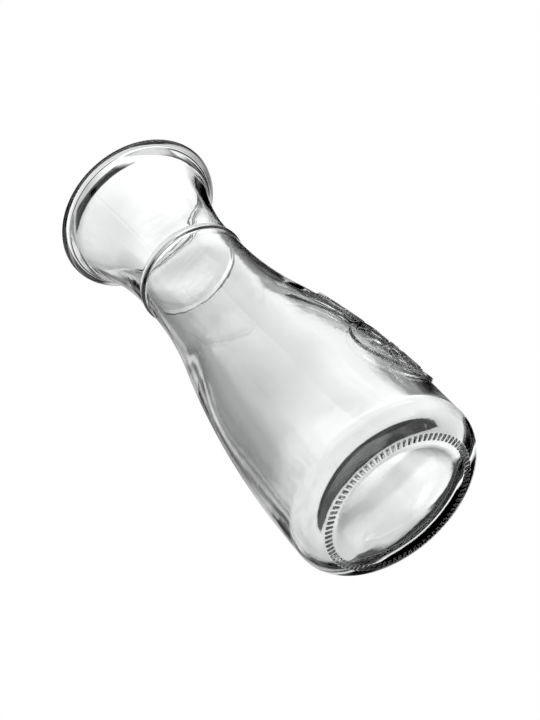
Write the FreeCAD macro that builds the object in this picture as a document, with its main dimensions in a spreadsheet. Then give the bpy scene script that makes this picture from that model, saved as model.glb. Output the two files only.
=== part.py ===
import FreeCAD, Part
import math
import os
import re
import Sketcher

# The bottle stands on its knurl bars at z = 0, with its axis on Z and its ornament facing -Y.
# Driving dimensions in millimetres, angles in degrees.
driving_sizes = {
    "bottle_height": 212,
    "body_wall": 4.6,
    "neck_wall": 3.2,
    "body_radius": 40,
    "heel_radius": 10.5,
    "shoulder_start": 24.3,
    "shoulder_curve": 364,
    "neck_radius": 24.4,
    "neck_start": 153.3,
    "neck_land": 9.8,
    "ring_height": 158,
    "ring_section": 1.5,
    "ring_proud": 1.2,
    "lip_radius": 37.9,
    "lip_bead": 2.8,
    "floor_height": 10,
    "floor_corner": 5,
    "push_up": 3.2,
    "recess_radius": 27,
    "knurl_count": 82,
    "knurl_radius": 30.6,
    "knurl_length": 4.3,
    "knurl_width": 1.2,
    "knurl_height": 0.5,
    "relief_proud": 1.2,
    "roundel_height": 47,
    "roundel_radius": 18.6,
    "roundel_border": 2.2,
    "button_radius": 3,
    "petal_count": 8,
    "petal_start": 4.4,
    "petal_length": 9,
    "petal_width": 4.6,
    "ray_count": 5,
    "ray_start": 24,
    "ray_length": 24,
    "ray_width": 3.6,
    "ray_fan": 48,
}
# How far a cutting shape runs past the face that it cuts through
cut_overrun = 1.0

document = FreeCAD.newDocument("milk_bottle")
sheet = document.addObject("Spreadsheet::Sheet", "sizes")
for row, (alias, number) in enumerate(driving_sizes.items(), start=1):
    sheet.set(f"A{row}", alias)
    sheet.set(f"B{row}", str(number))
    sheet.setAlias(f"B{row}", alias)
document.recompute()


def size(alias):
    return float(getattr(sheet, alias))


def formula(words):
    return re.sub(r"[a-z_]{2,}", r"sizes.\g<0>", words)


def new_body(name):
    return document.addObject("PartDesign::Body", name)


def new_sketch(body, name, plane):
    support = next(item for item in body.Origin.OriginFeatures if item.Role == plane)
    sketch = body.newObject("Sketcher::SketchObject", name)
    sketch.AttachmentSupport = [(support, "")]
    sketch.MapMode = "FlatFace"
    return sketch


def line(start, end):
    return Part.LineSegment(FreeCAD.Vector(*start, 0), FreeCAD.Vector(*end, 0))


def circle(centre, radius):
    return Part.Circle(FreeCAD.Vector(*centre, 0), FreeCAD.Vector(0, 0, 1), radius)


def arc(centre, radius, first, last):
    return Part.ArcOfCircle(circle(centre, radius), first, last)


def join(sketch, kind, *ends):
    sketch.addConstraint(Sketcher.Constraint(kind, *ends))


def bind(sketch, name, words, kind, *place):
    # The drawn value stands until the formula replaces it
    if kind == "Radius":
        drawn = sketch.Geometry[place[0]].Radius
    else:
        point = sketch.getPoint(*place[-2:])
        drawn = point.x if kind == "DistanceX" else point.y
    index = sketch.addConstraint(Sketcher.Constraint(kind, *place, drawn))
    sketch.renameConstraint(index, name)
    sketch.setExpression(f"Constraints.{name}", formula(words))


# A sketch numbers the points of each element from 1, and its own axes down from -1
start, end, middle = range(1, 4)
horizontal_axis, vertical_axis = range(-1, -3, -1)
origin = (horizontal_axis, start)


def arc_radius(across, up):
    # Radius of an arc that leaves a vertical line and has moved across by the height up
    return (across ** 2 + up ** 2) / (2 * across)


# The bell's outer radius of curvature: the lip bead touches the bell's inner surface all round
bead_inset = "(neck_wall - lip_bead)"
bell_across = f"(lip_radius - lip_bead - neck_radius + {bead_inset})"
bell_up = "(bottle_height - lip_bead - neck_start - neck_land)"
bell_curve = f"(({bell_across}^2 + {bell_up}^2) / (2 * {bell_across}) - {bead_inset})"
# Height where the bead takes over from the bell
bell_top = f"(bottle_height - lip_bead + lip_bead * {bell_up} / ({bell_curve} + {bead_inset}))"


def bottle_form(name, body_words, body_inset, neck_words, neck_inset, foot_alias, corner_alias,
                extra_words, extra):
    # A solid of revolution whose side lies inset from the bottle's outer surface, by one measure
    # at the body and another from the neck up: floor, corner, wall, convex shoulder, concave
    # throat, neck land and bell.
    # Its top lies the extra height above the place where the bead takes over.
    body = new_body(name)
    sketch = new_sketch(body, f"{name}_section", "XZ_Plane")

    radius = size("body_radius") - body_inset
    neck = size("neck_radius") - neck_inset
    foot = size(foot_alias)
    corner = size(corner_alias)
    shoulder_z = size("shoulder_start")
    neck_z = size("neck_start")
    land_z = neck_z + size("neck_land")
    shoulder_curve = size("shoulder_curve") - body_inset
    curve_sum = arc_radius(radius - neck, neck_z - shoulder_z)
    throat_curve = curve_sum - shoulder_curve
    lean = math.asin((neck_z - shoulder_z) / curve_sum)
    bead_z = size("bottle_height") - size("lip_bead")
    bead_line = size("lip_radius") - size("lip_bead")
    bead_depth = size("neck_wall") - size("lip_bead")
    bead_curve = arc_radius(bead_line - size("neck_radius") + bead_depth, bead_z - land_z)
    bell = bead_curve - bead_depth + neck_inset
    top = bead_z + size("lip_bead") * (bead_z - land_z) / bead_curve + extra
    flare = math.asin((top - land_z) / bell)
    rim = neck + bell * (1 - math.cos(flare))

    floor_line = sketch.addGeometry(line((0, foot), (radius - corner, foot)))
    corner_arc = sketch.addGeometry(arc((radius - corner, foot + corner), corner, -math.pi / 2, 0))
    wall_line = sketch.addGeometry(line((radius, foot + corner), (radius, shoulder_z)))
    shoulder_arc = sketch.addGeometry(arc((radius - shoulder_curve, shoulder_z), shoulder_curve, 0, lean))
    throat_arc = sketch.addGeometry(
        arc((neck + throat_curve, neck_z), throat_curve, math.pi, math.pi + lean))
    land_line = sketch.addGeometry(line((neck, neck_z), (neck, land_z)))
    bell_arc = sketch.addGeometry(arc((neck + bell, land_z), bell, math.pi - flare, math.pi))
    top_line = sketch.addGeometry(line((rim, top), (0, top)))
    axis_line = sketch.addGeometry(line((0, top), (0, foot)))

    join(sketch, "Tangent", floor_line, end, corner_arc, start)
    join(sketch, "Tangent", corner_arc, end, wall_line, start)
    join(sketch, "Tangent", wall_line, end, shoulder_arc, start)
    join(sketch, "Tangent", shoulder_arc, end, throat_arc, end)
    join(sketch, "Tangent", throat_arc, start, land_line, start)
    join(sketch, "Tangent", land_line, end, bell_arc, end)
    join(sketch, "Coincident", bell_arc, start, top_line, start)
    join(sketch, "Coincident", top_line, end, axis_line, start)
    join(sketch, "Coincident", axis_line, end, floor_line, start)
    join(sketch, "PointOnObject", axis_line, start, vertical_axis)
    join(sketch, "PointOnObject", axis_line, end, vertical_axis)
    for level in (floor_line, top_line):
        join(sketch, "Horizontal", level)
    for upright in (wall_line, land_line):
        join(sketch, "Vertical", upright)

    bind(sketch, "foot", foot_alias, "DistanceY", *origin, floor_line, start)
    bind(sketch, "corner", corner_alias, "Radius", corner_arc)
    bind(sketch, "radius", f"body_radius - {body_words}", "DistanceX", *origin, wall_line, end)
    bind(sketch, "shoulder_z", "shoulder_start", "DistanceY", *origin, wall_line, end)
    bind(sketch, "shoulder", f"shoulder_curve - {body_words}", "Radius", shoulder_arc)
    bind(sketch, "neck", f"neck_radius - {neck_words}", "DistanceX", *origin, land_line, start)
    bind(sketch, "neck_z", "neck_start", "DistanceY", *origin, land_line, start)
    bind(sketch, "land_z", "neck_start + neck_land", "DistanceY", *origin, land_line, end)
    bind(sketch, "bell", f"{bell_curve} + {neck_words}", "Radius", bell_arc)
    bind(sketch, "top", f"{bell_top} + {extra_words}", "DistanceY", *origin, top_line, start)

    turned = body.newObject("PartDesign::Revolution", f"{name}_turned")
    turned.Profile = sketch
    turned.ReferenceAxis = (sketch, ["V_Axis"])
    turned.Angle = 360
    return body


def front_sketch(body, name, turn_words="0"):
    # A sketch that faces the front, with its own origin at the roundel's centre
    sketch = new_sketch(body, name, "XZ_Plane")
    sketch.AttachmentOffset.Rotation.Axis = FreeCAD.Vector(0, 0, 1)
    sketch.setExpression("AttachmentOffset.Base.y", formula("roundel_height"))
    sketch.setExpression("AttachmentOffset.Rotation.Angle", formula(turn_words))
    return sketch


def raise_to_front(body, sketch):
    pad = body.newObject("PartDesign::Pad", f"{sketch.Name}_raised")
    pad.Profile = sketch
    pad.setExpression("Length", formula("body_radius + 2 * relief_proud"))
    return pad


def fan_out(body, pad, count_words, angle_words):
    pattern = body.newObject("PartDesign::PolarPattern", f"{pad.Name}_fan")
    pattern.Originals = [pad]
    pattern.Axis = (pad.Profile[0], ["N_Axis"])
    pattern.setExpression("Occurrences", formula(count_words))
    pattern.setExpression("Angle", formula(angle_words))
    body.Tip = pattern


def leaf(sketch, root_words, length_words, width_words):
    # Two equal arcs that meet in points on the vertical axis
    root, length, width = size(root_words), size(length_words), size(width_words)
    radius = (length ** 2 + width ** 2) / (4 * width)
    half = math.asin(length / (2 * radius))
    reach = radius - width / 2
    rise = root + length / 2
    right = sketch.addGeometry(arc((-reach, rise), radius, -half, half))
    left = sketch.addGeometry(arc((reach, rise), radius, math.pi - half, math.pi + half))
    join(sketch, "Coincident", right, end, left, start)
    join(sketch, "Coincident", right, start, left, end)
    join(sketch, "PointOnObject", right, start, vertical_axis)
    join(sketch, "PointOnObject", right, end, vertical_axis)
    curve = f"({length_words}^2 + {width_words}^2) / (4 * {width_words})"
    bind(sketch, "root", root_words, "DistanceY", *origin, right, start)
    bind(sketch, "tip", f"{root_words} + {length_words}", "DistanceY", *origin, right, end)
    bind(sketch, "right_curve", curve, "Radius", right)
    bind(sketch, "left_curve", curve, "Radius", left)


def disc(sketch, name, radius_words, radius):
    # A circle about the roundel's centre
    index = sketch.addGeometry(circle((0, 0), radius))
    join(sketch, "Coincident", index, middle, *origin)
    bind(sketch, name, radius_words, "Radius", index)


def ornament_stamp():
    # Prisms that run forward from the axis: roundel border, button, petals and rays
    body = new_body("ornament_stamp")

    border = front_sketch(body, "border")
    field_radius = size("roundel_radius") - size("roundel_border")
    disc(border, "outside", "roundel_radius", size("roundel_radius"))
    disc(border, "inside", "roundel_radius - roundel_border", field_radius)
    raise_to_front(body, border)

    button = front_sketch(body, "button")
    disc(button, "outside", "button_radius", size("button_radius"))
    raise_to_front(body, button)

    petal = front_sketch(body, "petal")
    leaf(petal, "petal_start", "petal_length", "petal_width")
    fan_out(body, raise_to_front(body, petal), "petal_count", "360")

    ray = front_sketch(body, "ray", "-ray_fan / 2")
    leaf(ray, "ray_start", "ray_length", "ray_width")
    fan_out(body, raise_to_front(body, ray), "ray_count", "ray_fan")
    return body


def hoop(name, ring_words, section_words, height_words):
    torus = document.addObject("Part::Torus", name)
    torus.setExpression("Radius1", formula(ring_words))
    torus.setExpression("Radius2", formula(section_words))
    torus.setExpression("Placement.Base.z", formula(height_words))
    return torus


def base_dome():
    # The sphere whose cap is the recess under the base
    sphere = document.addObject("Part::Sphere", "base_dome")
    sphere_radius = "(recess_radius^2 + push_up^2) / (2 * push_up)"
    sphere.setExpression("Radius", formula(sphere_radius))
    sphere.setExpression("Placement.Base.z", formula(f"knurl_height + push_up - {sphere_radius}"))
    return sphere


def knurl_ring():
    # Short radial bars under the bearing ring, rooted in the glass above it
    body = new_body("knurl_ring")
    sketch = new_sketch(body, "knurl_bar", "XY_Plane")
    inside = size("knurl_radius") - size("knurl_length") / 2
    outside = inside + size("knurl_length")
    half = size("knurl_width") / 2
    corners = [(inside, -half), (outside, -half), (outside, half), (inside, half)]
    sides = [sketch.addGeometry(line(here, there)) for here, there in zip(corners, corners[1:] + corners[:1])]
    for side, following in zip(sides, sides[1:] + sides[:1]):
        join(sketch, "Coincident", side, end, following, start)
    for side in sides[0::2]:
        join(sketch, "Horizontal", side)
    for side in sides[1::2]:
        join(sketch, "Vertical", side)
    bind(sketch, "inside", "knurl_radius - knurl_length / 2", "DistanceX", *origin, sides[0], start)
    bind(sketch, "outside", "knurl_radius + knurl_length / 2", "DistanceX", *origin, sides[0], end)
    bind(sketch, "low_edge", "-knurl_width / 2", "DistanceY", *origin, sides[0], start)
    bind(sketch, "high_edge", "knurl_width / 2", "DistanceY", *origin, sides[2], start)
    bar = body.newObject("PartDesign::Pad", "knurl_bar_raised")
    bar.Profile = sketch
    bar.setExpression("Length", formula("floor_height / 2"))
    fan_out(body, bar, "knurl_count", "360")
    return body


def combine(kind, name, **shapes):
    result = document.addObject(kind, name)
    for role, shape in shapes.items():
        setattr(result, role, shape)
    return result


bell_rise = size("bottle_height") - size("lip_bead") - size("neck_start") - size("neck_land")
outside = bottle_form("outside", "0", 0, "0", 0, "knurl_height", "heel_radius", "0", 0)
inside = bottle_form(
    "inside", "body_wall", size("body_wall"), "neck_wall", size("neck_wall"), "floor_height",
    "floor_corner", str(cut_overrun), cut_overrun)
# The face that the relief rises to, which ends half way up the bell
skin = bottle_form(
    "skin", "(-relief_proud)", -size("relief_proud"), "(-relief_proud)", -size("relief_proud"),
    "knurl_height", "heel_radius", f"(-{bell_up} / 2)", -bell_rise / 2)
relief = combine("Part::Common", "relief", Base=skin, Tool=ornament_stamp())
full = combine("Part::Fuse", "full_form", Base=outside, Tool=relief)
hollow = combine("Part::Cut", "hollow_form", Base=full, Tool=inside)
based = combine("Part::Cut", "based_form", Base=hollow, Tool=base_dome())
lip = hoop("lip_bead", "lip_radius - lip_bead", "lip_bead", "bottle_height - lip_bead")
ring = hoop("neck_ring", "neck_radius + ring_proud - ring_section", "ring_section", "ring_height")
bottle = combine("Part::MultiFuse", "bottle", Shapes=[based, lip, ring, knurl_ring()])
bottle.Refine = True
bottle.Label = "bottle"
document.recompute()

for item in document.Objects:
    if "Invalid" in item.State or "Error" in item.State:
        raise RuntimeError(f"{item.Name} did not build: {item.State}")
if bottle.Shape.isNull() or not bottle.Shape.isValid() or len(bottle.Shape.Solids) != 1:
    raise RuntimeError("bottle is not one valid solid")

os.makedirs("parts", exist_ok=True)
bottle.Shape.exportStep(f"parts/{bottle.Label}.step")
print(f"glass {bottle.Shape.Volume / 1000:.1f} cm3, box {bottle.Shape.optimalBoundingBox()}")
print(f"brimful {inside.Shape.Volume / 1000:.0f} ml")
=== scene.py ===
import math

import bpy
import numpy as np
from mathutils import Matrix, Vector


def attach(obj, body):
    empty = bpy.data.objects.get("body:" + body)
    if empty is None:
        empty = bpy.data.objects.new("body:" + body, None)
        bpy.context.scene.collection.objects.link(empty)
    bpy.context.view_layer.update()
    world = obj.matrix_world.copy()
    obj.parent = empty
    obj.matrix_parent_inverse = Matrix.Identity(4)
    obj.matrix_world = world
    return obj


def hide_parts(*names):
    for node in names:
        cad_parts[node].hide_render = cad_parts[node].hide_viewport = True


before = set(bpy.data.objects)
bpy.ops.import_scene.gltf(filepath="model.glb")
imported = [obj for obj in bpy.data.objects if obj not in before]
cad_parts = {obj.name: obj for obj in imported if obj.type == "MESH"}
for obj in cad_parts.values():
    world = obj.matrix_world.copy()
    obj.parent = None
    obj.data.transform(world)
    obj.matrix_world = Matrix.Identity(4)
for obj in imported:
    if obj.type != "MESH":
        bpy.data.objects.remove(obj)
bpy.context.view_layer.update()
mm = 0.001


def linear(code):
    # sRGB hex to linear light
    part = np.array([int(code[i:i + 2], 16) for i in (1, 3, 5)]) / 255
    return [*np.where(part <= 0.04045, part / 12.92, ((part + 0.055) / 1.055) ** 2.4), 1.0]


def node(tree, kind, **settings):
    # Adds a node: a setting is an attribute, or i and a number for an input
    made = tree.nodes.new(kind)
    for name, value in settings.items():
        if name[0] == "i" and name[1:].isdigit():
            socket = made.inputs[int(name[1:])]
            if isinstance(value, bpy.types.NodeSocket):
                tree.links.new(value, socket)
            else:
                socket.default_value = value
        else:
            setattr(made, name, value)
    return made


def calc(tree, operation, *values):
    inputs = {f"i{k}": value for k, value in enumerate(values)}
    return node(tree, "ShaderNodeMath", operation=operation, **inputs).outputs[0]


def soften(edge, low, high):
    # Smooth step of edge from 0 at low to 1 at high
    t = np.clip((edge - low) / (high - low), 0, 1)
    return t * t * (3 - 2 * t)


def fade(edge, low, high):
    # Smooth step of edge from 1 at low to 0 at high
    return soften(-edge, -high, -low)


# The bottle's section, in millimetres and degrees: outside from the base's centre up to the lip,
# then inside down to the floor's centre. It follows the CAD, but the neck ring is softer, a hollow
# leads into the lip, the lip's top is ground flat, and the floor is lower and leans a little.
bottle = {
    "height": 212.0, "bodyWall": 4.6, "neckWall": 3.2, "radius": 40.0, "heel": 10.5, "foot": 0.5,
    "shoulderZ": 24.3, "shoulderCurve": 364.0, "neck": 24.4, "neckZ": 153.3, "land": 9.8,
    "ringZ": 158.0, "ringSection": 2.4, "ringProud": 0.75,
    "lip": 37.7, "bead": 2.8, "lipFlat": 0.4, "hollow": 10.0,
    "floorZ": 9.3, "floorCorner": 5.6, "floorRise": 0.01, "pushUp": 3.2, "recess": 27.0,
    "floorLean": 0.022, "leanTowards": 15.5, "leanFade": (15, 40),
    "polish": 0.45, "polishReach": 4, "step": 0.1, "arcPoints": 400,
}
knurl = {
    "count": 82, "columns": 902, "inside": 29.3, "outside": 31.7, "width": 1.0, "soft": 0.8,
    "endSoft": 0.3, "top": 3.0,
}
relief = {
    "proud": 1.15, "soft": 0.55, "height": 47.0, "radius": 18.6, "border": 2.2, "button": 3.0,
    "petals": 8, "petalStart": 4.4, "petalLength": 9.0, "petalWidth": 4.6,
    "rays": 5, "rayStart": 24.0, "rayLength": 24.0, "rayWidth": 3.6, "rayFan": 48.0,
}
seam = {
    "proud": 0.012, "halfWidth": 0.4, "fade": (3, 9),
    "sides": (90, 270), "columns": (-1.2, -0.6, 0, 0.6, 1.2), "clear": 1.6,
}
waves = {
    "inside": 0.16, "outside": 0.025, "standing": 0.9,
    "heelFade": (12, 30), "lipFade": (2, 20), "axisFade": (8, 20),
    # Swells: share, waves round the bottle, height per radian, phase
    "swells": [(1.0, 2, 17, 0.6), (0.7, 3, -11, 0), (0.5, 5, 23, 2.0)],
    # Rings: share, height per radian, bow
    "rings": (0.4, 6.5, 2),
}

# The mesh: columns in degrees, rows in millimetres along the section, and how far a band reaches
# past the feature that it holds
columnStep = {"plain": 2.8, "coarse": 3.6, "fine": 0.5, "fineHalf": 42, "slight": 0.001}
rowStep = {
    "dome": 1.6, "knurls": 0.26, "heel": 1.1, "relief": 0.45, "throat": 1.8, "ring": 0.3,
    "bell": 1.5, "lip": 0.33, "wall": 1.8, "floor": 1.2,
}
margin = {
    "pole": 0.8, "knurlIn": 0.9, "knurlOut": 0.7, "relief": 1.2, "ring": 3.2, "bead": 2.5,
    "lipInside": 5.5, "floor": 45,
}


def arcPath(centre, radius, first, last):
    turn = np.radians(np.linspace(first, last, bottle["arcPoints"]))
    return np.column_stack([centre[0] + radius * np.cos(turn), centre[1] + radius * np.sin(turn)])


def sectionPath():
    b = bottle
    inner = b["radius"] - b["bodyWall"]
    neckIn = b["neck"] - b["neckWall"]
    up = b["neckZ"] - b["shoulderZ"]
    shoulderCentre = (b["radius"] - b["shoulderCurve"], b["shoulderZ"])

    def throatArc(body, neck, shoulder):
        # The shoulder arc meets the throat arc where both lean by the same angle
        curveSum = ((body - neck) ** 2 + up ** 2) / (2 * (body - neck))
        return curveSum - shoulder, math.degrees(math.asin(up / curveSum))

    throat, lean = throatArc(b["radius"], b["neck"], b["shoulderCurve"])
    shoulderIn = b["shoulderCurve"] - b["bodyWall"]
    throatIn, leanIn = throatArc(inner, neckIn, shoulderIn)
    # The bell's inner face is tangent to the lip bead
    landTop = b["neckZ"] + b["land"]
    beadCentre = np.array([b["lip"] - b["bead"], b["height"] - b["bead"]])
    beadDepth = b["neckWall"] - b["bead"]
    bellAcross, bellUp = beadCentre[0] - b["neck"] + beadDepth, beadCentre[1] - landTop
    beadCurve = (bellAcross ** 2 + bellUp ** 2) / (2 * bellAcross)
    bellOut, bellIn = beadCurve - beadDepth, beadCurve + b["bead"]
    bellCentre = np.array([b["neck"] + bellOut, landTop])
    toBead = math.degrees(math.atan2(*(beadCentre - bellCentre)[::-1]))
    # A hollow of one radius leads from the outer bell into the bead
    toHollow, fromBead = bellOut - b["hollow"], b["bead"] + b["hollow"]
    cosBell = (beadCurve ** 2 + toHollow ** 2 - fromBead ** 2) / (2 * beadCurve * toHollow)
    bellEnd = toBead + math.degrees(math.acos(cosBell))
    turn = math.radians(bellEnd)
    hollowCentre = bellCentre + toHollow * np.array([math.cos(turn), math.sin(turn)])
    beadStart = math.degrees(math.atan2(*(hollowCentre - beadCentre)[::-1]))
    # The lip's top is ground flat a little below the bead's crown
    flatZ = b["height"] - b["lipFlat"]
    flatStart = math.degrees(math.asin((flatZ - beadCentre[1]) / b["bead"]))
    flatEnd = 180 - math.degrees(math.asin((flatZ - landTop) / bellIn))
    # Cap of the recess, the neck ring's part of a turn, the heel, and the floor with its corner
    sphere = (b["recess"] ** 2 + b["pushUp"] ** 2) / (2 * b["pushUp"])
    capEnd = math.degrees(math.acos(b["recess"] / sphere))
    ringRadius = b["neck"] + b["ringProud"] - b["ringSection"]
    ringTurn = math.degrees(math.acos((b["neck"] - ringRadius) / b["ringSection"]))
    heelCentre = (b["radius"] - b["heel"], b["foot"] + b["heel"])
    cornerCentre = (inner - b["floorCorner"], b["floorZ"] + b["floorCorner"])
    floorSphere = (cornerCentre[0] ** 2 + b["floorRise"] ** 2) / (2 * b["floorRise"])
    floorStart = math.degrees(math.acos(cornerCentre[0] / floorSphere))
    return np.vstack([
        arcPath((0, b["foot"] + b["pushUp"] - sphere), sphere, 90, capEnd),
        arcPath(heelCentre, b["heel"], -90, 0),
        arcPath(shoulderCentre, b["shoulderCurve"], 0, lean),
        arcPath((b["neck"] + throat, b["neckZ"]), throat, 180 + lean, 180),
        arcPath((ringRadius, b["ringZ"]), b["ringSection"], -ringTurn, ringTurn),
        arcPath(bellCentre, bellOut, 180, bellEnd),
        arcPath(hollowCentre, b["hollow"], bellEnd, beadStart + 180),
        arcPath(beadCentre, b["bead"], beadStart, flatStart),
        arcPath(bellCentre, bellIn, flatEnd, 180),
        arcPath((neckIn + throatIn, b["neckZ"]), throatIn, 180, 180 + leanIn),
        arcPath(shoulderCentre, shoulderIn, leanIn, 0),
        arcPath(cornerCentre, b["floorCorner"], 0, -90),
        arcPath((0, b["floorZ"] + b["floorRise"] - floorSphere), floorSphere, floorStart, 90),
    ])


def evenPath(path, step):
    length = np.append(0, np.cumsum(np.hypot(*np.diff(path, axis=0).T)))
    at = np.linspace(0, length[-1], int(length[-1] / step))
    return np.column_stack([np.interp(at, length, path[:, k]) for k in (0, 1)]), at


def polishedSection():
    # Fire polish: the section blurred along its length, mirrored at the axis
    path, at = evenPath(sectionPath(), bottle["step"])
    reach = int(bottle["polishReach"] * bottle["polish"] / bottle["step"])
    away = np.arange(-reach, reach + 1) * bottle["step"]
    kernel = np.exp(-0.5 * (away / bottle["polish"]) ** 2)
    kernel /= kernel.sum()
    r = np.pad(path[:, 0], reach, mode="reflect", reflect_type="odd")
    z = np.pad(path[:, 1], reach, mode="reflect")
    return np.convolve(r, kernel, "valid"), np.convolve(z, kernel, "valid"), at


def reliefHeight(x, z):
    # Height of the raised ornament at x across and z up: each motif from its signed distance
    o = relief
    up = z - o["height"]
    rho = np.hypot(x, up)
    angle = np.arctan2(x, up)

    def leaf(folded, kind):
        # Two arcs that meet at both ends of the leaf
        root, length, width = (o[kind + part] for part in ("Start", "Length", "Width"))
        along, aside = rho * np.cos(folded), np.abs(rho * np.sin(folded))
        curve = (length ** 2 + width ** 2) / (4 * width)
        return curve - np.hypot(aside + curve - width / 2, along - root - length / 2)

    border = o["border"] / 2 - np.abs(rho - o["radius"] + o["border"] / 2)
    button = o["button"] - rho
    pitch = 2 * math.pi / o["petals"]
    petal = leaf(angle - pitch * np.round(angle / pitch), "petal")
    pitch = math.radians(o["rayFan"]) / (o["rays"] - 1)
    side = (o["rays"] - 1) // 2
    ray = leaf(angle - pitch * np.clip(np.round(angle / pitch), -side, side), "ray")
    inside = np.maximum.reduce([border, button, petal, ray])
    return o["proud"] * soften(inside, -0.5 * o["soft"], 0.5 * o["soft"])


def columnsOf(coarse, fineHalf, fine):
    # Column angles from the front: fine steps over the ornament, coarse ones elsewhere, and
    # close columns at the two mould seams
    front = np.arange(-fineHalf, fineHalf + fine / 2, fine) if fineHalf else np.zeros(1)
    back = np.linspace(fineHalf, 360 - fineHalf, int((360 - 2 * fineHalf) / coarse) + 1)[1:-1]
    back = back[np.abs(np.abs(back - 180) - 90) > seam["clear"]]
    seams = np.array(seam["sides"])[:, None] + np.array(seam["columns"])
    around = np.concatenate([front, back, seams.ravel()])
    return np.radians(np.sort((around + 180) % 360 - 180))


plain = columnsOf(columnStep["plain"], 0, 0)
fine = columnsOf(columnStep["coarse"], columnStep["fineHalf"], columnStep["fine"])
bars = np.radians(np.arange(knurl["columns"]) * 360 / knurl["columns"] - 180)


def bandRows(r, z, at):
    # Bands of the section: arc length at the end, row spacing and columns
    lipTop = at[np.argmax(z)]
    outside = at < lipTop

    def reach(mask):
        return at[np.argmax(mask)]

    def above(height):
        return reach(outside & (z > height))

    reliefFoot = relief["height"] - relief["radius"]
    reliefTop = relief["height"] + relief["rayStart"] + relief["rayLength"]
    beadFoot = bottle["height"] - 2 * bottle["bead"]
    return [
        (reach(r > knurl["inside"] - margin["knurlIn"]), rowStep["dome"], plain),
        (reach(outside & (r > knurl["outside"] + margin["knurlOut"])), rowStep["knurls"], bars),
        (above(reliefFoot - margin["relief"]), rowStep["heel"], plain),
        (above(reliefTop + margin["relief"]), rowStep["relief"], fine),
        (above(bottle["ringZ"] - margin["ring"]), rowStep["throat"], plain),
        (above(bottle["ringZ"] + margin["ring"]), rowStep["ring"], plain),
        (above(beadFoot - margin["bead"]), rowStep["bell"], plain),
        (lipTop + margin["lipInside"], rowStep["lip"], plain),
        (at[-1] - margin["floor"], rowStep["wall"], plain),
        (at[-1], rowStep["floor"], plain),
    ]


def skinPoint(r, z, nr, nz, angle, inner):
    # Surface: (R sin a, -R cos a, Z) for the section moved along its normal by the relief, the
    # seams and the waves. The floor inside leans, and the knurl bars come down to the table.
    depth = bottle["height"] - z
    seams = seam["proud"] * np.exp(-(r * np.cos(angle) / seam["halfWidth"]) ** 2)
    seams = seams * soften(z, *seam["fade"]) * soften(depth, *seam["fade"])
    # Waves: swells of share sin(n a + z / length + phase), and bowed rings
    sway = sum(share * np.sin(turns * angle + z / length + phase)
               for share, turns, length, phase in waves["swells"])
    share, length, bow = waves["rings"]
    sway = sway + share * np.sin(z / length + bow * np.cos(angle))
    belowLip = soften(depth, *waves["lipFade"])
    outer = np.where(np.cos(angle) > 0, reliefHeight(r * np.sin(angle), z), 0) + seams
    outer = outer + waves["outside"] * sway * soften(z, *waves["heelFade"]) * belowLip
    innerShift = waves["inside"] * sway * soften(r, *waves["axisFade"]) * belowLip
    shift = np.where(inner, innerShift, outer * (z > waves["standing"]))
    # Share of a knurl bar: 1 on the bar, 0 beside it and past its ends
    pitch = 2 * math.pi / knurl["count"]
    aside = r * np.abs(angle - pitch * np.round(angle / pitch))
    half, soft, end = knurl["width"] / 2, knurl["soft"] / 2, knurl["endSoft"]
    bar = fade(aside, half - soft, half + soft)
    bar = bar * soften(r, knurl["inside"] - end, knurl["inside"] + end)
    bar = bar * fade(r, knurl["outside"] - end, knurl["outside"] + end)
    bar = np.where(~inner & (z < knurl["top"]), bar, 0)
    towards = np.cos(angle - math.radians(bottle["leanTowards"]))
    lean = np.where(inner, bottle["floorLean"] * r * towards * fade(z, *bottle["leanFade"]), 0)
    rr = r + nr * shift
    zz = (z + nz * shift + lean) * (1 - bar)
    return np.stack([rr * np.sin(angle), -rr * np.cos(angle), zz], axis=-1)


def stitch(first, firstAngles, second, secondAngles):
    # Triangles between two rings of different columns: both rings' angles in one order
    a = np.append(firstAngles, firstAngles[0] + 2 * math.pi)
    b = np.append(secondAngles, secondAngles[0] + 2 * math.pi)
    order = np.argsort(np.concatenate([a[1:], b[1:]]), kind="stable")
    isFirst = order < len(a) - 1
    i = np.cumsum(isFirst) - isFirst
    j = np.cumsum(~isFirst) - ~isFirst
    here, there = first + i % len(firstAngles), second + j % len(secondAngles)
    onward = np.where(isFirst, first + (i + 1) % len(firstAngles),
                      second + (j + 1) % len(secondAngles))
    return np.column_stack([here, onward, there])


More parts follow.
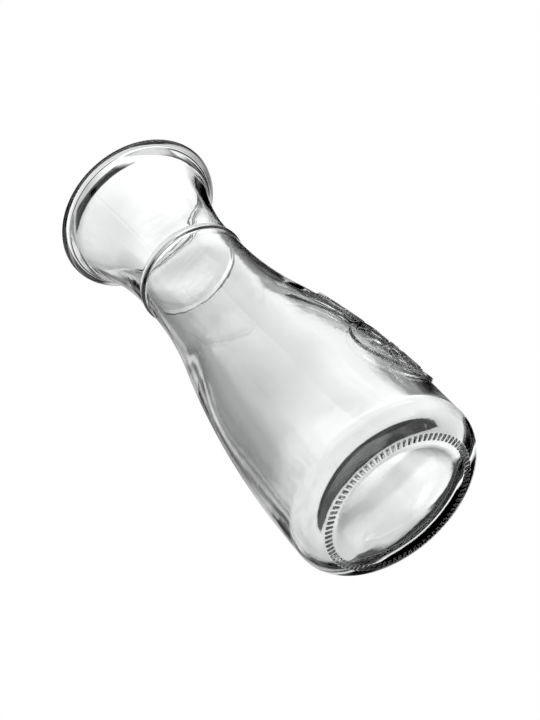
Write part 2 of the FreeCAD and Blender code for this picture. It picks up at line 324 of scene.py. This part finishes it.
def buildBottle():
    r, z, at = polishedSection()
    nr, nz = np.gradient(z, at), -np.gradient(r, at)
    size = np.hypot(nr, nz)
    nr, nz = nr / size, nz / size
    lipTop = at[np.argmax(z)]
    points, normals, quads, triangles = [], [], [], []
    total, begin, previous = 0, margin["pole"], None

    def skin(rows, angles):
        section = [np.interp(rows, at, line)[:, None] for line in (r, z, nr, nz)]
        return skinPoint(*section, angles[None, :], (rows > lipTop)[:, None])

    def facing(rows, angles):
        # Normal: the step round the bottle crossed with the step along the section
        turn, step = columnStep["slight"], bottle["step"]
        across = skin(rows, angles + turn) - skin(rows, angles - turn)
        along = skin(rows + step, angles) - skin(rows - step, angles)
        normal = np.cross(across, along)
        return normal / np.linalg.norm(normal, axis=-1, keepdims=True)

    for end, spacing, angles in bandRows(r, z, at):
        count = max(2, int(round((end - begin) / spacing)))
        rows = np.linspace(begin, end, count, endpoint=False)
        grid = skin(rows, angles)
        rowCount, columnCount = grid.shape[:2]
        index = total + np.arange(rowCount * columnCount).reshape(rowCount, columnCount)
        following = np.roll(index, -1, axis=1)
        faces = np.stack([index[:-1], following[:-1], following[1:], index[1:]], axis=-1)
        quads.append(faces.reshape(-1, 4))
        if previous is not None:
            triangles.append(stitch(previous[0], previous[1], index[0, 0], angles))
        points.append(grid.reshape(-1, 3))
        normals.append(facing(rows, angles).reshape(-1, 3))
        previous = (index[-1, 0], angles)
        total += rowCount * columnCount
        begin = end
    # The two poles on the axis
    points.append(np.array([[0, 0, z[0]], [0, 0, z[-1]]]))
    normals.append(np.array([[0, 0, -1], [0, 0, 1]]))
    around = np.arange(len(plain))
    firstRing, lastRing = around, previous[0] + around
    below, above = np.full(len(plain), total), np.full(len(plain), total + 1)
    triangles.append(np.column_stack([below, np.roll(firstRing, -1), firstRing]))
    triangles.append(np.column_stack([above, lastRing, np.roll(lastRing, -1)]))
    points, quads, triangles, normals = map(np.concatenate, (points, quads, triangles, normals))
    return points * mm, quads, triangles, normals


def addMesh(name, points, quads, triangles, normals=None):
    mesh = bpy.data.meshes.new(name)
    corners = np.concatenate([quads.ravel(), triangles.ravel()]).astype(np.int32)
    sides = np.concatenate([np.full(len(quads), 4), np.full(len(triangles), 3)])
    starts = np.concatenate([[0], np.cumsum(sides)[:-1]]).astype(np.int32)
    mesh.vertices.add(len(points))
    mesh.vertices.foreach_set("co", points.ravel())
    mesh.loops.add(len(corners))
    mesh.loops.foreach_set("vertex_index", corners)
    mesh.polygons.add(len(sides))
    mesh.polygons.foreach_set("loop_start", starts)
    mesh.update(calc_edges=True)
    mesh.shade_smooth()
    mesh.validate()
    if normals is not None:
        mesh.normals_split_custom_set_from_vertices(normals)
    made = bpy.data.objects.new(name, mesh)
    bpy.context.scene.collection.objects.link(made)
    return made


glassBottle = addMesh("glassBottle", *buildBottle())
built = glassBottle.data
print("bottle", len(built.vertices), "points",
      len(built.loops) - 2 * len(built.polygons), "triangles")

# Lengths in millimetres
glass = {
    "colour": "#fbfcfc", "bend": 1.52, "ripple": 4.0, "rippleDetail": 1.0, "rippleDepth": 0.02,
    "scuff": 0.1, "scuffGrain": 1.5, "scuffDetail": 2.0, "scuffTop": 0.6,
}


def clearGlass():
    # Pressed soda glass, colourless: it bends the white room into dark edge lines, the mould
    # leaves a faint ripple, and the bearing ring is scuffed from standing
    made = bpy.data.materials.new("clearGlass")
    made.use_nodes = True
    tree = made.node_tree
    surface = tree.nodes["Principled BSDF"]
    surface.inputs["Base Color"].default_value = linear(glass["colour"])
    surface.inputs["IOR"].default_value = glass["bend"]
    surface.inputs["Transmission Weight"].default_value = 1.0
    place = node(tree, "ShaderNodeTexCoord").outputs["Object"]

    def noise(width, detail):
        return node(tree, "ShaderNodeTexNoise", i0=place, i2=1 / (width * mm), i3=detail).outputs[0]

    ripple = noise(glass["ripple"], glass["rippleDetail"])
    bump = node(tree, "ShaderNodeBump", i0=1.0, i1=glass["rippleDepth"] * mm, i3=ripple)
    tree.links.new(bump.outputs[0], surface.inputs["Normal"])
    height = node(tree, "ShaderNodeSeparateXYZ", i0=place).outputs[2]
    standing = node(tree, "ShaderNodeMapRange", i0=height, i1=glass["scuffTop"] * mm, i2=0.0)
    grain = noise(glass["scuffGrain"], glass["scuffDetail"])
    worn = calc(tree, "MULTIPLY", standing.outputs[0], grain)
    scuff = calc(tree, "MULTIPLY", worn, glass["scuff"])
    tree.links.new(scuff, surface.inputs["Roughness"])
    return made


glassBottle.data.materials.append(clearGlass())
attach(glassBottle, "root")
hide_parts("bottle")
print("glass done")

# Studio: white for the camera, plain light for the floor, and what the glass shows by direction.
# Angles in degrees, brightness in shares of white.
studio = {
    "look": 15.0, "sector": 66.0, "lowSector": 36.0, "edge": 16.0, "gain": 1.6, "plain": 0.75,
    # Brightness round the azimuth that the camera looks along: black flag at the right, white
    # screen, grey screen at the left, then a dark edge and a light strip
    "around": [
        (-80, .6), (-60, .2), (-42, 0), (-24, 0), (-19, .1), (-14, .95), (-10, 1), (-4, .76),
        (1, .64), (6, .48), (12, .4), (22, .38), (28, .4), (32, .12), (40, .12), (46, .5), (52, .5),
        (58, .1), (70, .1), (80, .6),
    ],
    # Brightness by elevation in that sector: dark table below, then the screen, which is
    # brightest above
    "height": [
        (-90, .6), (-80, .5), (-66, 0), (-5.2, 0), (-1, 1.1), (8, 1.3), (14, 1.4), (20, 1.3),
        (25, 1.2), (30, 1.3), (35, 1.3), (38, 1), (43.4, 1), (45.6, 1.45), (48, 1.6), (62, 1.5),
        (72, 1.2), (90, 1),
    ],
    # Panels: brightness, azimuth, half width, soft edge, elevation, half height, soft edge
    "panels": [
        # A pale panel and a grey patch on the flag, and two pale patches on the screen
        (.72, -17, 17, 6, 58, 6, 5), (.32, -18, 14, 8, 31, 3.5, 4),
        (.8, 21, 5, 8, 18, 12, 8), (.78, 27, 9, 10, 29, 7, 6),
        # Small flags above the table
        (.03, 0, 8, 5, 0, 9, 6), (.03, -6, 4, 4, 12, 13, 6), (.03, 29, 4, 4, 8, 14, 6),
        # Dark ceiling, and a softbox with a brighter core on the camera's side
        (.3, 180, 120, 20, 78, 18, 8), (1.9, -148, 48, 8, 31, 13, 6), (3, -128, 52, 10, 32, 4, 4),
        # Dark flag over a pale screen at the left
        (.05, 104, 30, 12, 54, 20, 10), (.8, 118, 46, 10, 14, 20, 12),
        # Two dark rails above the screen
        (0, 24, 15, 6, 57.2, 4.2, 2), (.1, 20, 22, 16, 69, 2, 2),
        # Narrow black strips that draw the edges of the glass from other sides
        (0, 100, 6, 6, -25, 14, 8), (0, 170, 6, 6, -25, 14, 8), (0, -80, 6, 6, -15, 12, 8),
        (0, 147, 5, 6, -3, 10, 6), (0, -147, 5, 6, -3, 10, 6), (0, 123, 5, 6, -3, 10, 6),
    ],
}


def blend(tree, factor, first, second):
    return node(tree, "ShaderNodeMix", i0=factor, i2=first, i3=second).outputs[0]


def within(tree, angle, centre, half, soft):
    # 1 inside half of the centre, falling to 0 over the soft edge
    away = calc(tree, "SUBTRACT", angle, math.radians(centre))
    away = calc(tree, "ABSOLUTE", calc(tree, "WRAP", away, math.pi, -math.pi))
    low, high = math.radians(half - soft / 2), math.radians(half + soft / 2)
    step = node(tree, "ShaderNodeMapRange", i0=away, i1=high, i2=low)
    step.interpolation_type = "SMOOTHSTEP"
    return step.outputs[0]


def curve(tree, angle, stops, gain):
    # Brightness along an angle, straight between the stops
    first, last = stops[0][0], stops[-1][0]
    low, high = math.radians(first), math.radians(last)
    share = node(tree, "ShaderNodeMapRange", i0=angle, i1=low, i2=high).outputs[0]
    made = node(tree, "ShaderNodeValToRGB", i0=share)
    ramp = made.color_ramp.elements
    for k, (degrees, bright) in enumerate(stops):
        place = (degrees - first) / (last - first)
        stop = ramp[k] if k < 1 else ramp.new(place) if k < len(stops) - 1 else ramp[-1]
        stop.position = place
        stop.color = (bright / gain, bright / gain, bright / gain, 1)
    return made.outputs[0]


def studioLight():
    world = bpy.data.worlds.new("studio")
    bpy.context.scene.world = world
    world.use_nodes = True
    tree = world.node_tree
    tree.nodes.clear()
    sky = node(tree, "ShaderNodeTexCoord").outputs["Generated"]
    direction = node(tree, "ShaderNodeSeparateXYZ", i0=sky).outputs
    azimuth = calc(tree, "ARCTAN2", direction[1], direction[0])
    elevation = calc(tree, "ARCSINE", direction[2])
    turned = calc(tree, "SUBTRACT", azimuth, math.radians(studio["look"]))
    turned = calc(tree, "WRAP", turned, math.pi, -math.pi)
    screen = calc(tree, "MULTIPLY", curve(tree, turned, studio["around"], 1),
                  curve(tree, elevation, studio["height"], studio["gain"]))
    screen = calc(tree, "MULTIPLY", screen, studio["gain"])
    below = calc(tree, "LESS_THAN", elevation, 0.0)
    sector = blend(tree, below, within(tree, turned, 0, studio["sector"], studio["edge"]),
                   within(tree, turned, 0, studio["lowSector"], studio["edge"]))
    seen = blend(tree, sector, 1.0, screen)
    for bright, aside, halfWidth, softWidth, up, halfHeight, softHeight in studio["panels"]:
        mask = calc(tree, "MULTIPLY", within(tree, azimuth, aside, halfWidth, softWidth),
                    within(tree, elevation, up, halfHeight, softHeight))
        seen = blend(tree, mask, seen, bright)
    path = node(tree, "ShaderNodeLightPath").outputs
    seen = blend(tree, path["Is Diffuse Ray"], seen, studio["plain"])
    seen = blend(tree, path["Is Camera Ray"], seen, 1.0)
    light = node(tree, "ShaderNodeBackground", i0=(1, 1, 1, 1), i1=seen)
    node(tree, "ShaderNodeOutputWorld", i0=light.outputs[0])


studioLight()

# Floor: a pale sheet that the bottle stands on, clear from below, where the camera is, and a
# broad soft lamp above it for the shadow
floor = {
    "half": 4000.0, "drop": 0.2, "colour": "#f2f2f1",
    "lamp": 1.1, "lampSpread": 50.0, "lampLean": 20.0,
}


def addFloor():
    h, z = floor["half"], -floor["drop"]
    points = np.array([[-h, -h, z], [h, -h, z], [h, h, z], [-h, h, z]])
    sheet = addMesh("floorSheet", points * mm, np.array([[0, 1, 2, 3]]), np.zeros((0, 3), int))
    made = bpy.data.materials.new("floorCard")
    made.use_nodes = True
    tree = made.node_tree
    tree.nodes.clear()
    card = node(tree, "ShaderNodeBsdfDiffuse", i0=linear(floor["colour"])).outputs[0]
    clear = node(tree, "ShaderNodeBsdfTransparent").outputs[0]
    behind = node(tree, "ShaderNodeNewGeometry").outputs["Backfacing"]
    mixed = node(tree, "ShaderNodeMixShader", i0=behind, i1=card, i2=clear)
    node(tree, "ShaderNodeOutputMaterial", i0=mixed.outputs[0])
    sheet.data.materials.append(made)
    data = bpy.data.lights.new("softLamp", "SUN")
    data.energy = floor["lamp"]
    data.angle = math.radians(floor["lampSpread"])
    lamp = bpy.data.objects.new("softLamp", data)
    bpy.context.scene.collection.objects.link(lamp)
    lamp.rotation_euler = (math.radians(floor["lampLean"]), 0, 0)
    for thing in (sheet, lamp):
        thing.visible_transmission = False
        thing.visible_glossy = False


addFloor()
print("studio done")

# Camera: it stands below the bottle and looks up, rolled so that the bottle leans to the left
shot = {
    "azimuth": -74.5, "elevation": -40.35, "distance": 645.7, "targetZ": 93.5, "roll": 41.97,
    "lens": 80.0, "near": 10.0,
}


def placeCamera():
    data = bpy.data.cameras.new("shot")
    data.lens = shot["lens"]
    data.clip_start = shot["near"] * mm
    camera = bpy.data.objects.new("shot", data)
    bpy.context.scene.collection.objects.link(camera)
    a, e, turn = (math.radians(shot[k]) for k in ("azimuth", "elevation", "roll"))
    back = Vector((math.sin(a) * math.cos(e), -math.cos(a) * math.cos(e), math.sin(e)))
    level = Vector((0, 0, 1)).cross(back).normalized()
    rise = back.cross(level)
    right = level * math.cos(turn) - rise * math.sin(turn)
    up = rise * math.cos(turn) + level * math.sin(turn)
    place = Vector((0, 0, shot["targetZ"] * mm)) + back * shot["distance"] * mm
    camera.matrix_world = Matrix((
        (right.x, up.x, back.x, place.x),
        (right.y, up.y, back.y, place.y),
        (right.z, up.z, back.z, place.z),
        (0, 0, 0, 1)))
    bpy.context.scene.camera = camera


placeCamera()
bpy.context.scene.view_settings.view_transform = "Standard"
